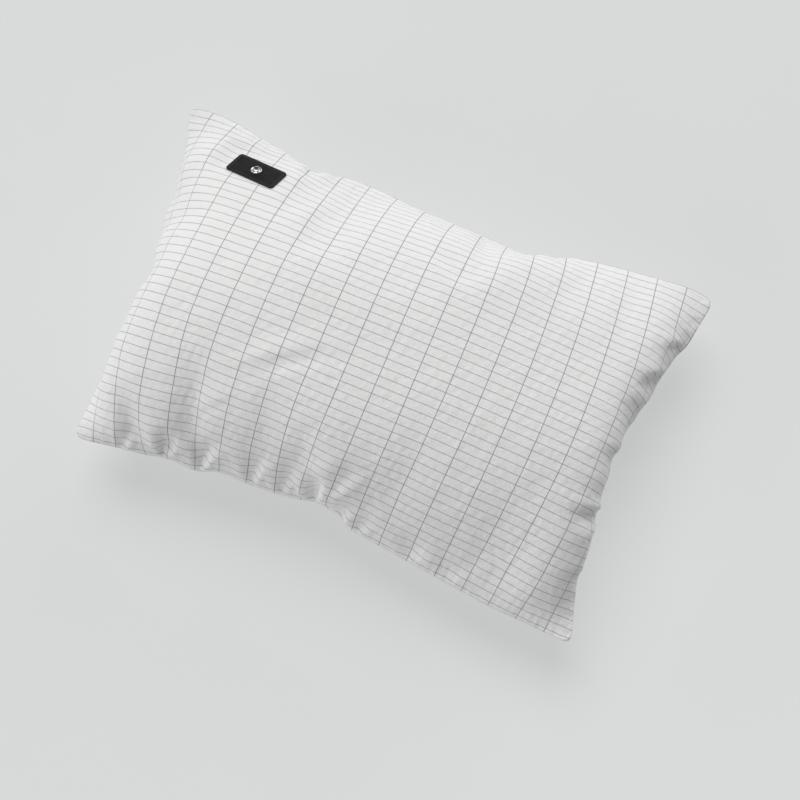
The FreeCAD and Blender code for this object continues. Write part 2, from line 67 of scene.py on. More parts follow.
# The simulation's grid step, the slack its seam may keep, and how it is filled and pressed.
SIM_STEP = 6 * MM
KEPT_SLACK = 1.02
LEAST_SHARE = 0.86
GATHER_DEPTH = 80 * MM
CORNER_REACH = 20 * MM
SEAM_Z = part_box("cover_back_main_panel")[1].z
CROWN = 103 * MM
REST_GAP = 3.5 * MM
SEWN_FRAME = 20
LAST_FRAME = 56
CLOTH_SETTINGS = {
    "quality": 6, "mass": 0.1, "tension_stiffness": 80, "compression_stiffness": 5, "shear_stiffness": 8,
    "bending_stiffness": 0.1, "tension_damping": 5, "compression_damping": 5, "shear_damping": 5,
    "air_damping": 2, "use_pressure": True, "uniform_pressure_force": 13}
TIGHTENING_ROUNDS = 60
BOWL = 62 * MM
FULLNESS = 1.6

# The insert is smaller than the cover; its gathered seam lies INSERT_MARGIN inside and is drawn in further.
INSERT_COLUMNS = 160
INSERT_ROWS = 106
INSERT_MARGIN = 26 * MM
INSERT_THREAD = 27 * MM
INSERT_DRAWN_IN = 0.93
INSERT_BLEND = 26 * MM
UNDER_FLAT = 3.2 * MM
TICKING = 0.5 * MM
TICKING_DEPTH = 3 * MM
TICKING_UNEVENNESS = 0.3 * MM
WADDING_DEPTH = 5 * MM
WADDING_SHARE = 0.985
WADDING_LUMPS = 0.7 * MM

# The looped thread in each seam stops THREAD_GAP short of the corners.
THREAD_GAP = 28 * MM
LOOP_PITCH = 3.4 * MM
LOOP_RISE = 0.35 * MM

# TUBE_REFERENCE is a direction that no thread runs along, so that a tube's rings have a start.
UPWARDS = np.array([0, 0, 1.0])
TUBE_REFERENCE = np.array([0.13, 0.27, 0.95])
TINY = 1e-12

# Each side of the seam in millimetres, corner to corner: place along the flat cloth, then x and y.
SEAM_BOTTOM = [
    (-327.5, -293, -188), (-303, -268, -185), (-268, -246, -182), (-233, -210, -178), (-197, -189, -173),
    (-162, -154, -176), (-127, -131, -167), (-91, -98, -169), (-56, -65, -168), (-21, -36, -165),
    (14, -9, -158), (50, 27, -177), (85, 59, -181), (156, 127, -191), (226, 190, -200), (297, 255, -205),
    (327.5, 287, -208)]
SEAM_TOP = [
    (-327.5, -315, 206), (-303, -286, 208), (-268, -257, 206), (-233, -225, 198), (-197, -192, 193),
    (-162, -159, 177), (-127, -123, 189), (-91, -91, 189), (-56, -59, 186), (-21, -23, 182), (50, 45, 179),
    (85, 74, 177), (120, 104, 171), (156, 140, 189), (191, 174, 195), (226, 208, 198), (297, 274, 203),
    (327.5, 307, 199)]
SEAM_LEFT = [
    (-217.5, -293, -188), (-142, -288, -118), (-95, -283, -75), (-45, -280, -30), (-18, -278, -5),
    (16, -285, 25), (54, -289, 60), (83, -294, 85), (101, -290, 101), (134, -297, 130), (172, -302, 165),
    (217.5, -315, 206)]
SEAM_RIGHT = [
    (-217.5, 287, -208), (-177, 276, -168), (-145, 269, -139), (-95, 268, -92), (-45, 262, -45),
    (5, 258, 2), (27, 262, 22), (64, 272, 56), (101, 279, 90), (136, 286, 122), (158, 296, 140),
    (184, 300, 165), (217.5, 307, 199)]

# Short pleats that run in from the seam, in millimetres on the flat cloth: foot u and v, head u and v,
# depth and half width. Soft folds in the middle of the front are given the same way; below 0 is a ridge.
PLEATS = [
    (-264, -217.5, -242, -180, 3, 6), (-208, -217.5, -184, -172, 5.5, 7), (-158, -217.5, -132, -164, 6.5, 8),
    (-88, -217.5, -77, -163, 5, 7), (-50, -217.5, -38, -170, 3.2, 6), (-5, -217.5, -2, -158, 9, 7),
    (28, -217.5, 44, -172, 5, 8), (54, -217.5, 63, -186, 3, 7), (118, -217.5, 127, -176, 3, 12),
    (166, -217.5, 172, -180, 1.8, 12), (327.5, -142, 268, -152, 1.6, 8), (327.5, -68, 240, -90, 5, 7),
    (327.5, -2, 240, -18, 2.2, 9), (327.5, 64, 242, 36, 2.4, 11), (327.5, 112, 258, 58, 4.4, 9),
    (327.5, 152, 272, 112, 2.6, 8), (-162, 217.5, -156, 165, 2.6, 7), (114, 217.5, 106, 165, 2, 9)]
SOFT_FOLDS = [
    (-160, -92, -20, -2, -1.2, 8), (-123, -94, -40, -28, 0.9, 8), (-112, 150, -114, 60, 2.4, 14),
    (2, 138, 70, 98, 2.2, 12), (8, -196, 34, -128, 2.4, 7), (-170, -150, -118, -96, -0.8, 7)]

# Grid woven into the cover: pitch, the place of one line on the flat cloth, and the line's width.
LONG_PITCH = 10 * MM
LONG_PLACE = -2.3 * MM
CROSS_PITCH = 35.3 * MM
CROSS_PLACE = 14.5 * MM
LONG_LINE = 0.75 * MM
CROSS_LINE = 0.85 * MM

# Brightness of the floor's own faint light, and of the light from all round.
FLOOR_GLOW = 0.45
WORLD_LIGHT = 0.17


# ---- numbers and grids

def smoothstep(value, low, high):
    """0 below low, 1 above high, smooth between them; low may be the larger."""
    share = np.clip((value - low) / (high - low), 0, 1)
    return share * share * (3 - 2 * share)


def waves(u, v, shortest, longest, seed, count=24):
    """Smooth noise of about -1 to 1 from seeded sine waves."""
    random = np.random.default_rng(seed)
    total = np.zeros(np.broadcast(u, v).shape)
    for _ in range(count):
        length = shortest * (longest / shortest) ** random.random()
        angle = random.uniform(0, math.pi)
        phase = random.uniform(0, 2 * math.pi)
        across = u * math.cos(angle) + v * math.sin(angle)
        total = total + np.sin(2 * math.pi * across / length + phase)
    return total / math.sqrt(count / 2) / 2


def seam_side(points, count):
    """Places along one side of the seam at count even steps of the flat cloth."""
    flat, x, y = np.array(points, float).T * MM
    steps = np.linspace(flat[0], flat[-1], count + 1)
    line = np.stack([np.interp(steps, flat, x), np.interp(steps, flat, y)], 1)
    kernel = np.array([1.0, 2.0, 1.0]) / 4
    for _ in range(2):
        ends = np.pad(line, ((1, 1), (0, 0)), mode="reflect", reflect_type="odd")
        line = kernel[0] * ends[:-2] + kernel[1] * ends[1:-1] + kernel[2] * ends[2:]
    return line


def gathered(flat, line):
    """How far each place along a side moves when the seam draws up slack that shows as fine crinkles."""
    step = flat[1] - flat[0]
    lengths = np.linalg.norm(np.diff(line, axis=0), axis=1)
    kept = np.clip(KEPT_SLACK * lengths / step, LEAST_SHARE, 1)
    drawn = np.concatenate([[0], np.cumsum(kept * step)])
    return drawn - drawn[-1] / 2 - flat


def stretched_between(sides, columns, rows):
    """Grid of x, y that fills the outline made by the four sides."""
    bottom, top, left, right = sides
    a = np.linspace(0, 1, columns + 1)[None, :, None]
    b = np.linspace(0, 1, rows + 1)[:, None, None]
    lengthwise = (1 - b) * bottom[None] + b * top[None]
    crosswise = (1 - a) * left[:, None] + a * right[:, None]
    corners = ((1 - a) * (1 - b) * bottom[0] + a * (1 - b) * bottom[-1]
               + (1 - a) * b * top[0] + a * b * top[-1])
    return lengthwise + crosswise - corners


def round_corners(outline):
    """Smooths the outline's rim near its four corners."""
    rows, columns = outline.shape[0] - 1, outline.shape[1] - 1
    flat = outline.reshape(-1, 2).copy()
    rim = np.array(rim_of(rows, columns))
    corners = np.array([0, columns, columns + rows, 2 * columns + rows])
    places = np.arange(len(rim))[:, None]
    away = np.abs(places - corners[None])
    away = np.minimum(away, len(rim) - away).min(axis=1)
    share = smoothstep(away * SIM_STEP, CORNER_REACH, 0)[:, None]
    for _ in range(4):
        middle = (np.roll(flat[rim], 1, axis=0) + np.roll(flat[rim], -1, axis=0)) / 2
        flat[rim] += 0.5 * share * (middle - flat[rim])
    return flat.reshape(outline.shape)


def spline_shares(t):
    """Weights of the four neighbours in a uniform cubic B-spline."""
    return [(1 - t) ** 3 / 6, (3 * t ** 3 - 6 * t ** 2 + 4) / 6,
            (-3 * t ** 3 + 3 * t ** 2 + 3 * t + 1) / 6, t ** 3 / 6]


def read_grid(grid, u, v):
    """Smooth reading of a grid of points at places u, v on the flat cloth."""
    rows, columns = grid.shape[0] - 1, grid.shape[1] - 1
    wide = np.pad(grid, ((1, 1), (1, 1), (0, 0)), mode="reflect", reflect_type="odd")
    across = np.clip((u / FLAT_LENGTH + 0.5) * columns, 0, columns)
    up = np.clip((v / FLAT_WIDTH + 0.5) * rows, 0, rows)
    i = np.minimum(across.astype(int), columns - 1)
    j = np.minimum(up.astype(int), rows - 1)
    total = 0.0
    for dj, share_up in enumerate(spline_shares(up - j)):
        for di, share_across in enumerate(spline_shares(across - i)):
            total = total + wide[j + dj, i + di] * (share_up * share_across)[..., None]
    return total


def normals_of(points, sign):
    """Unit normals of a grid of points, to the side that sign picks."""
    along = np.gradient(points, axis=1)
    up = np.gradient(points, axis=0)
    normal = sign * np.cross(along, up)
    return normal / np.maximum(np.linalg.norm(normal, axis=2, keepdims=True), TINY)


def edge_distance(u, v):
    """Distance on the flat cloth to the nearest seam."""
    return np.minimum(HALF_LENGTH - np.abs(u), HALF_WIDTH - np.abs(v))


def flat_lines(grid):
    """Places on the flat cloth of a grid's columns and of its rows."""
    u = np.linspace(-HALF_LENGTH, HALF_LENGTH, grid.shape[1])[None]
    v = np.linspace(-HALF_WIDTH, HALF_WIDTH, grid.shape[0])[:, None]
    return u, v


# ---- meshes

def mesh_object(name, points, faces, flat_places=None):
    """Smooth mesh; flat_places gives each point's place on the flat cloth for the map named Cloth."""
    mesh = bpy.data.meshes.new(name)
    mesh.from_pydata(np.asarray(points).tolist(), [], faces)
    mesh.update()
    if flat_places is not None:
        layer = mesh.uv_layers.new(name="Cloth")
        order = np.zeros(len(mesh.loops), int)
        mesh.loops.foreach_get("vertex_index", order)
        layer.data.foreach_set("uv", np.asarray(flat_places)[order].astype(np.float32).ravel())
    mesh.shade_smooth()
    piece = bpy.data.objects.new(name, mesh)
    bpy.context.scene.collection.objects.link(piece)
    return piece


def grid_faces(rows, columns, start=0, flip=False):
    """Quads of a grid of (rows + 1) x (columns + 1) points numbered row by row from start."""
    j, i = np.mgrid[0:rows, 0:columns]
    corner = start + j * (columns + 1) + i
    quads = np.stack([corner, corner + 1, corner + columns + 2, corner + columns + 1], -1).reshape(-1, 4)
    if flip:
        quads = quads[:, ::-1]
    return quads.tolist()


def rim_of(rows, columns):
    """Indices round a grid's edge, anticlockwise from its first corner."""
    width = columns + 1
    bottom = list(range(columns))
    right = [j * width + columns for j in range(rows)]
    top = [rows * width + i for i in range(columns, 0, -1)]
    left = [j * width for j in range(rows, 0, -1)]
    return bottom + right + top + left


def sheet_mesh(name, outer, sign, thickness, flat_places):
    """Closed cloth: a fine outer layer, and an inner layer at half its resolution, thickness behind it."""
    rows, columns = outer.shape[0] - 1, outer.shape[1] - 1
    normal = normals_of(outer, sign)
    inner = (outer - normal * thickness[..., None])[::2, ::2]
    places = np.concatenate([flat_places.reshape(-1, 2), flat_places[::2, ::2].reshape(-1, 2)])
    points = np.concatenate([outer.reshape(-1, 3), inner.reshape(-1, 3)])
    start = (rows + 1) * (columns + 1)
    faces = grid_faces(rows, columns, 0, sign < 0)
    faces += grid_faces(rows // 2, columns // 2, start, sign > 0)
    fine = rim_of(rows, columns)
    coarse = [start + k for k in rim_of(rows // 2, columns // 2)]
    for k in range(len(coarse)):
        a, b, c = fine[2 * k], fine[2 * k + 1], fine[(2 * k + 2) % len(fine)]
        p, q = coarse[k], coarse[(k + 1) % len(coarse)]
        ring = [(b, a, p), (c, b, q), (b, p, q)]
        faces += ring if sign > 0 else [face[::-1] for face in ring]
    return mesh_object(name, points, faces, places)


def ring_faces(rings, sides, flip=False):
    """Quads that join each ring of points to the next."""
    faces = []
    for k in range(rings - 1):
        for m in range(sides):
            a, b = k * sides + m, k * sides + (m + 1) % sides
            c, d = b + sides, a + sides
            faces.append((a, d, c, b) if flip else (a, b, c, d))
    return faces


def tube(path, radius, sides=6):
    """Points and faces of a round thread along a path, closed at both ends."""
    path = np.asarray(path, float)
    ahead = np.gradient(path, axis=0)
    ahead /= np.maximum(np.linalg.norm(ahead, axis=1, keepdims=True), TINY)
    side = np.cross(ahead, TUBE_REFERENCE)
    side /= np.maximum(np.linalg.norm(side, axis=1, keepdims=True), TINY)
    up = np.cross(side, ahead)
    radii = np.broadcast_to(radius, len(path))[:, None, None]
    turn = np.arange(sides) * 2 * math.pi / sides
    ring = np.cos(turn)[None, :, None] * side[:, None] + np.sin(turn)[None, :, None] * up[:, None]
    points = (path[:, None] + ring * radii).reshape(-1, 3)
    faces = ring_faces(len(path), sides)
    faces.append(tuple(range(sides))[::-1])
    faces.append(tuple((len(path) - 1) * sides + m for m in range(sides)))
    return points, faces


def joined(parts):
    """One points and faces pair from several."""
    points, faces, start = [], [], 0
    for part_points, part_faces in parts:
        points.append(part_points)
        faces += [tuple(k + start for k in face) for face in part_faces]
        start += len(part_points)
    return np.concatenate(points), faces


def stitch(start, end, out, radius):
    """One stitch: a short thread that rises out of the cloth, lies along it and dips back in."""
    share = np.array([0.0, 0.12, 0.3, 0.5, 0.7, 0.88, 1.0])
    rise = np.array([-1.2, -0.1, 0.45, 0.6, 0.45, -0.1, -1.2]) * radius
    path = start + (end - start) * share[:, None] + out * rise[:, None]
    swell = np.array([0.55, 0.9, 1.0, 1.0, 1.0, 0.9, 0.55]) * radius
    return tube(path, swell, 6)


def lengths_along(path):
    """Distance of each point of a path from the path's start."""
    return np.concatenate([[0], np.cumsum(np.linalg.norm(np.diff(path, axis=0), axis=1))])


def read_along(path, steps, at):
    """A path's points at the distances at; steps are the distances of its own points."""
    return np.stack([np.interp(at, steps, path[:, d]) for d in range(3)], -1)


def stitches(path, out, pitch, gap, radius):
    """A row of stitches along a path; out is the direction out of the cloth."""
    steps = lengths_along(path)
    parts = []
    for k in range(int(steps[-1] / pitch)):
        start = read_along(path, steps, k * pitch + gap / 2)
        end = read_along(path, steps, (k + 1) * pitch - gap / 2)
        parts.append(stitch(start, end, out, radius))
    return joined(parts)


def placed(points, matrix):
    """Local points in millimetres, moved by a matrix."""
    local = np.asarray(points, float) * MM
    turn = np.array(matrix.to_3x3())
    return local @ turn.T + np.array(matrix.translation)


def stand_in(piece, node, slot):
    """The piece moves with the pillow, stands for a CAD node and takes a slot's material."""
    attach(piece, "pillow")
    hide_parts(node)
    paint(piece, slot)


def fitting(name, node, slot, parts, matrix):
    """A piece made of parts given in millimetres on the plane of the patch or of the zip."""
    points, faces = joined(parts)
    stand_in(mesh_object(name, placed(points, matrix), faces), node, slot)


# ---- the planes of the patch and the zip

def plane_matrix(origin, along, up, out):
    """Matrix that puts a fitting's, or the camera's, own X, Y and Z into the pillow's frame."""
    matrix = Matrix((along, up, out)).transposed().to_4x4()
    matrix.translation = origin
    return matrix


# The patch's turn and its sizes and the stud's in millimetres, then the zip's hinge height and slot.
PATCH_TURN = math.radians(-14)
PATCH_HALF_LENGTH = 31
PATCH_HALF_WIDTH = 15.5
PATCH_CREST = 2.2
STUD_MIDDLE = 2.0
RIVET_HOLE = 1.75
HOLE_RING = 4.4
HINGE_LEVEL = 4.0
SLOT_HALF_LENGTH = 178 * MM
SLOT_HALF_WIDTH = 6.5 * MM

stud_mount = [m for m in frame["record"]["mounts"] if m["name"] == "press_stud"][0]
patch_out = Vector(stud_mount["axis"]).normalized()
patch_up = Vector((0, patch_out.z, -patch_out.y)).normalized()
patch_up = Matrix.Rotation(PATCH_TURN, 3, patch_out) @ patch_up
patch_along = patch_up.cross(patch_out)
patch_centre = Vector(stud_mount["pos_m"]) - patch_out * (PATCH_CREST + STUD_MIDDLE) * MM
PATCH = plane_matrix(patch_centre, patch_along, patch_up, patch_out)

swing = [j for j in frame["joints"] if j["name"] == "zip_pull_swing"][0]
zip_up = Vector(swing["axis"]).normalized()
zip_along = Vector((1, 0, 0))
zip_out = zip_along.cross(zip_up)
zip_origin = Vector(swing["pos_m"]) - zip_out * HINGE_LEVEL * MM
zip_origin.x = 0
ZIP = plane_matrix(zip_origin, zip_along, zip_up, zip_out)


# ---- the cloth simulation

def drawn_in(flat_x, flat_y, sides):
    """Moves of every place on the flat cloth that take the gathered slack out of its edges."""
    bottom, top, left, right = sides
    from_bottom = smoothstep(flat_y + HALF_WIDTH, GATHER_DEPTH, 0)
    from_top = smoothstep(HALF_WIDTH - flat_y, GATHER_DEPTH, 0)
    from_left = smoothstep(flat_x + HALF_LENGTH, GATHER_DEPTH, 0)
    from_right = smoothstep(HALF_LENGTH - flat_x, GATHER_DEPTH, 0)
    move_x = from_bottom * gathered(flat_x[0], bottom)[None] + from_top * gathered(flat_x[0], top)[None]
    left_move = gathered(flat_y[:, 0], left)[:, None]
    right_move = gathered(flat_y[:, 0], right)[:, None]
    return move_x, from_left * left_move + from_right * right_move


def drawn_tight(grid, flat_x, flat_y):
    """Smooths a panel, most at its corners and in its middle; the corners are also drawn flat."""
    corner = np.hypot(HALF_LENGTH - np.abs(flat_x), HALF_WIDTH - np.abs(flat_y))
    edge = edge_distance(flat_x, flat_y)
    share = np.maximum(smoothstep(corner, 110 * MM, 45 * MM), 0.9 * smoothstep(edge, 25 * MM, 60 * MM))
    share = np.maximum(share, 0.5 * smoothstep(edge, 45 * MM, 15 * MM))
    share = (0.3 + 0.7 * share)[1:-1, 1:-1, None]
    flat = smoothstep(corner, 90 * MM, 30 * MM)[1:-1, 1:-1, None]
    for _ in range(TIGHTENING_ROUNDS):
        for pull in (0.5, -0.42 * (1 - flat)):
            middle = (grid[2:, 1:-1] + grid[:-2, 1:-1] + grid[1:-1, 2:] + grid[1:-1, :-2]) / 4
            grid[1:-1, 1:-1] += pull * share * (middle - grid[1:-1, 1:-1])
    grid[..., 2] = np.maximum(grid[..., 2], 0)
    return grid


def blown_up():
    """Front and back grids of the cover: two flat panels, sewn together, filled and pressed on the floor."""
    columns = round(FLAT_LENGTH / SIM_STEP)
    rows = round(FLAT_WIDTH / SIM_STEP)
    u = np.linspace(-1, 1, columns + 1)[None, :]
    v = np.linspace(-1, 1, rows + 1)[:, None]
    sides = [seam_side(SEAM_BOTTOM, columns), seam_side(SEAM_TOP, columns),
             seam_side(SEAM_LEFT, rows), seam_side(SEAM_RIGHT, rows)]
    outline = round_corners(stretched_between(sides, columns, rows))
    crown = np.clip((1 - u * u) * (1 - v * v), 0, 1)

    lift = 6 * MM * np.sqrt(crown)
    flat_x = np.broadcast_to(u * HALF_LENGTH, crown.shape)
    flat_y = np.broadcast_to(v * HALF_WIDTH, crown.shape)
    front_index = np.arange(crown.size).reshape(crown.shape)
    inside = np.zeros(crown.shape, bool)
    inside[1:-1, 1:-1] = True
    back_index = front_index.copy()
    back_index[inside] = crown.size + np.arange(inside.sum())
    front = np.dstack([flat_x, flat_y, lift]).reshape(-1, 3)
    back = np.dstack([flat_x, flat_y, -lift])[inside]
    start = np.concatenate([front, back])
    target = start.copy()
    target[:, :2] = np.concatenate([outline.reshape(-1, 2), outline[inside]])
    drawn_x, drawn_y = drawn_in(flat_x, flat_y, sides)
    rest = start.copy()
    rest[:, 0] += np.concatenate([drawn_x.ravel(), drawn_x[inside]])
    rest[:, 1] += np.concatenate([drawn_y.ravel(), drawn_y[inside]])
    faces = grid_faces(rows, columns)
    corners = [back_index[:-1, :-1], back_index[1:, :-1], back_index[1:, 1:], back_index[:-1, 1:]]
    faces += np.stack(corners, -1).reshape(-1, 4).tolist()

    cloth = mesh_object("cover_simulation", start, faces)
    cloth.shape_key_add(name="Flat")
    sewn = cloth.shape_key_add(name="Sewn")
    sewn.data.foreach_set("co", target.ravel())
    relaxed = cloth.shape_key_add(name="Rest")
    relaxed.data.foreach_set("co", rest.ravel())
    for value, number in ((0, 1), (1, SEWN_FRAME)):
        sewn.value = value
        sewn.keyframe_insert("value", frame=number)
    seam = cloth.vertex_groups.new(name="seam")
    seam.add(front_index[~inside].tolist(), 1.0, "REPLACE")

    bpy.ops.mesh.primitive_plane_add(size=2, location=(0, 0, -SEAM_Z - REST_GAP))
    ground = bpy.context.object
    ground.modifiers.new("Collision", "COLLISION")
    ground.collision.thickness_outer = 2 * MM

    modifier = cloth.modifiers.new("Cloth", "CLOTH")
    modifier.settings.vertex_group_mass = "seam"
    modifier.settings.rest_shape_key = relaxed
    modifier.settings.effector_weights.gravity = 0
    for label, value in CLOTH_SETTINGS.items():
        setattr(modifier.settings, label, value)
    modifier.collision_settings.use_self_collision = False
    modifier.collision_settings.distance_min = 2 * MM
    modifier.collision_settings.friction = 5
    modifier.point_cache.frame_end = LAST_FRAME + 1

    scene = bpy.context.scene
    for number in range(1, LAST_FRAME + 1):
        scene.frame_set(number)
    result = cloth.evaluated_get(bpy.context.evaluated_depsgraph_get()).to_mesh()
    points = np.zeros(len(result.vertices) * 3)
    result.vertices.foreach_get("co", points)
    points = points.reshape(-1, 3)
    points[:, 2] *= np.where(points[:, 2] > 0, CROWN / points[:, 2].max(), 1)
    points[:, 2] += SEAM_Z
    for used in (cloth, ground):
        bpy.data.objects.remove(used)
    scene.frame_set(1)
    return [drawn_tight(points[index], flat_x, flat_y) for index in (front_index, back_index)]


front_grid, back_grid = blown_up()


def lift_apart(grid, sign):
    """A hair's gap between the two panels where they meet in the seam."""
    return grid + [0, 0, sign * SEAM_GAP]


def filled_out(grid):
    """Fills the front out on its lower and right sides: flatter on top, and steeper near the seam."""
    u, v = flat_lines(grid)
    share = 1 - (1 - smoothstep(v, 90 * MM, -40 * MM)) * (1 - 0.3 * smoothstep(u, -60 * MM, 80 * MM))
    height = np.clip((grid[..., 2] - SEAM_Z) / CROWN, 0, 1)
    full = 1 - (1 - height) ** FULLNESS
    return grid + (share * CROWN * (full - height))[..., None] * UPWARDS


def settled(grid):
    """Sinks the front in a wide, shallow bowl round the patch, so that the cloth there meets its plane."""
    away = np.linalg.norm(grid - np.array(patch_centre), axis=2)
    height = (grid - np.array(patch_centre)) @ np.array(patch_out)
    depth = height[away < away.min() + 15 * MM].mean() / patch_out.z
    bowl = np.exp(-(away / BOWL) ** 2 / 2) * smoothstep(edge_distance(*flat_lines(grid)), 0, 45 * MM)
    return grid - (depth * bowl)[..., None] * UPWARDS


front_grid = settled(lift_apart(filled_out(front_grid), 1))
back_grid = lift_apart(back_grid, -1)
middle_grid = (front_grid + back_grid) / 2


# ---- the two surfaces of the cover

def near_patch(points):
    """1 under the patch and 0 well away from it, with the height above the patch's plane."""
    local = points - np.array(patch_centre)
    along = np.abs(local @ np.array(patch_along))
    up = np.abs(local @ np.array(patch_up))
    height = local @ np.array(patch_out)
    share = smoothstep(along, 58 * MM, 34 * MM) * smoothstep(up, 34 * MM, 18 * MM)
    return share * smoothstep(np.abs(height), 40 * MM, 30 * MM), height


def zip_row():
    """Place on the flat cloth, across its width, of the zip's middle line."""
    v = np.linspace(-HALF_WIDTH, 0, 200)
    found = []
    for u in np.linspace(-120, 120, 13) * MM:
        y = read_grid(back_grid, np.full_like(v, u), v)[:, 1]
        found.append(np.interp(zip_origin.y, y, v))
    return float(np.mean(found))


ZIP_ROW = zip_row()


def zip_share(u, v):
    """1 on the flat strip that holds the zip and 0 away from it, with that strip's x."""
    middle = read_grid(back_grid, u, np.full_like(v, ZIP_ROW))
    x = middle[..., 0]
    share = smoothstep(np.abs(x), 236 * MM, 196 * MM) * smoothstep(np.abs(v - ZIP_ROW), 42 * MM, 15 * MM)
    return share, x


def fold(u, v, place, along_rise, along_fall):
    """Height of one fold: a valley with a ridge each side, wide to one side and steep to the other."""
    foot_u, foot_v, head_u, head_v, depth, half_width = np.array(place) * MM
    length = math.hypot(head_u - foot_u, head_v - foot_v)
    along_u, along_v = (head_u - foot_u) / length, (head_v - foot_v) / length
    share = ((u - foot_u) * along_u + (v - foot_v) * along_v) / length
    side = (u - foot_u) * along_v - (v - foot_v) * along_u
    width = half_width * (0.6 + 0.9 * np.clip(share, 0, 1)) * np.where(side < 0, 1.4, 0.8)
    ridge = 0.4 * np.exp(-((np.abs(side) - 2 * width) / width) ** 2)
    height = depth * (ridge - np.exp(-(side / width) ** 2))
    return height * smoothstep(share, 0, along_rise) * smoothstep(share, 1, along_fall)


def drawn_folds(u, v):
    """The front's own folds: pleats that run in from the seam, and soft folds away from it."""
    height = sum(fold(u, v, place, 0.22, 0.4) for place in PLEATS)
    return height + sum(fold(u, v, place, 0.35, 0.65) for place in SOFT_FOLDS)


def puckers(u, v, seed):
    """Small ripples that run into the seam, and a faint crumple all over."""
    distance = edge_distance(u, v)
    by_length = HALF_WIDTH - np.abs(v) < HALF_LENGTH - np.abs(u)
    along = np.where(by_length, u, v)
    inward = np.where(by_length, v, u)
    ripple = waves(along, inward * 0.12, 8 * MM, 22 * MM, seed, 18)
    seam_fold = 0.8 * MM * ripple * np.exp(-distance / (14 * MM)) * smoothstep(distance, 0, 2.5 * MM)
    crumple = 0.3 * MM * waves(u, v, 9 * MM, 40 * MM, seed + 1, 40)
    return seam_fold + crumple * smoothstep(distance, 0, 12 * MM)


def front_surface(u, v, ripples=True):
    """The front's points at places on the flat cloth, folded, and flattened under the patch."""
    points = read_grid(front_grid, u, v)
    height = drawn_folds(u, v)
    if ripples:
        height = height + puckers(u, v, 11)
    height = height * (1 - near_patch(points)[0])
    points = points + normals_of(points, 1) * height[..., None]
    share, height = near_patch(points)
    return points - (share * height)[..., None] * np.array(patch_out)


def back_surface(u, v, ripples=True):
    """The back's points at places on the flat cloth, flattened along the zip."""
    points = read_grid(back_grid, u, v)
    share, x = zip_share(u, v)
    if ripples:
        pressed = smoothstep(points[..., 2], 2 * MM, 12 * MM)
        points = points + normals_of(points, -1) * (puckers(u, v, 23) * (1 - share) * pressed)[..., None]
    across = -(v - ZIP_ROW)
    flat = np.array(zip_origin) + x[..., None] * np.array(zip_along) + across[..., None] * np.array(zip_up)
    points = points + share[..., None] * (flat - points)
    points[..., 2] = np.maximum(points[..., 2], 0)
    return points


def flat_grid(rows, columns, low, high):
    """Places on the flat cloth between two lines, low and high, given for each column."""
    u = np.linspace(-HALF_LENGTH, HALF_LENGTH, columns + 1)
    share = np.linspace(0, 1, rows + 1)[:, None]
    v = (1 - share) * low[None] + share * high[None]
    return np.broadcast_to(u, v.shape).copy(), v


def slot_edge(side):
    """Line on the flat cloth where a back panel ends: round the zip's slot, and along one seam past it."""
    u = np.linspace(-HALF_LENGTH, HALF_LENGTH, PANEL_COLUMNS + 1)
    x = read_grid(back_grid, u[None], np.full((1, len(u)), ZIP_ROW))[0, :, 0]
    opened = smoothstep(np.abs(x), SLOT_HALF_LENGTH + 2 * MM, SLOT_HALF_LENGTH - 2 * MM)
    return ZIP_ROW + side * (SEAM_GAP + (SLOT_HALF_WIDTH - SEAM_GAP) * opened)


def make_cover():
    """The front, and the back in two panels that meet at the zip, each with a hem along the zip."""
    edge = np.full(PANEL_COLUMNS + 1, HALF_WIDTH)
    main_width = HALF_WIDTH - ZIP_ROW
    strip_width = FLAT_WIDTH - main_width
    main_rows = 2 * round(PANEL_ROWS * main_width / FLAT_WIDTH / 2)
    strip_rows = PANEL_ROWS - main_rows
    for name, node, sign, rows, low, high, width in (
            ("front_cloth", "front_panel", 1, PANEL_ROWS, -edge, edge, FLAT_WIDTH),
            ("back_main_cloth", "back_main_panel", -1, main_rows, slot_edge(1), edge, main_width),
            ("back_strip_cloth", "back_zip_strip", -1, strip_rows, -edge, slot_edge(-1), strip_width)):
        surface = front_surface if sign > 0 else back_surface
        u, v = flat_grid(rows, PANEL_COLUMNS, low, high)
        thickness = np.full(u.shape, CLOTH)
        for line in (low, high):
            if np.ptp(line) > 0:
                thickness += (HEM_CLOTH - CLOTH) * smoothstep(np.abs(v - line), HEM, 0.8 * HEM)
        panel = sheet_mesh("cover_" + name, surface(u, v), sign, thickness, np.dstack([u, v]))
        stand_in(panel, "cover_" + node, "cover_cloth")


# ---- the insert

def insert_surface(surface, side, u, v, depth):
    """The cover's surface, smaller and depth inside it, drawn in to the middle at the insert's own seam."""
    small_u = u * (1 - 2 * INSERT_MARGIN / FLAT_LENGTH)
    small_v = v * (1 - 2 * INSERT_MARGIN / FLAT_WIDTH)
    points = surface(small_u, small_v, False)
    normal = normals_of(points, side)
    if side > 0:
        deeper = UNDER_FLAT * near_patch(points)[0] + 0.5 * np.abs(drawn_folds(small_u, small_v))
    else:
        deeper = UNDER_FLAT * zip_share(small_u, small_v)[0]
    points = points - normal * (depth + deeper)[..., None]
    middle = read_grid(middle_grid, small_u, small_v)
    rim = smoothstep(edge_distance(u, v), 0, INSERT_BLEND)[..., None]
    rim_points = middle * [INSERT_DRAWN_IN, INSERT_DRAWN_IN, 1] + [0, 0, side * 0.1 * MM]
    return rim_points + (points - rim_points) * rim


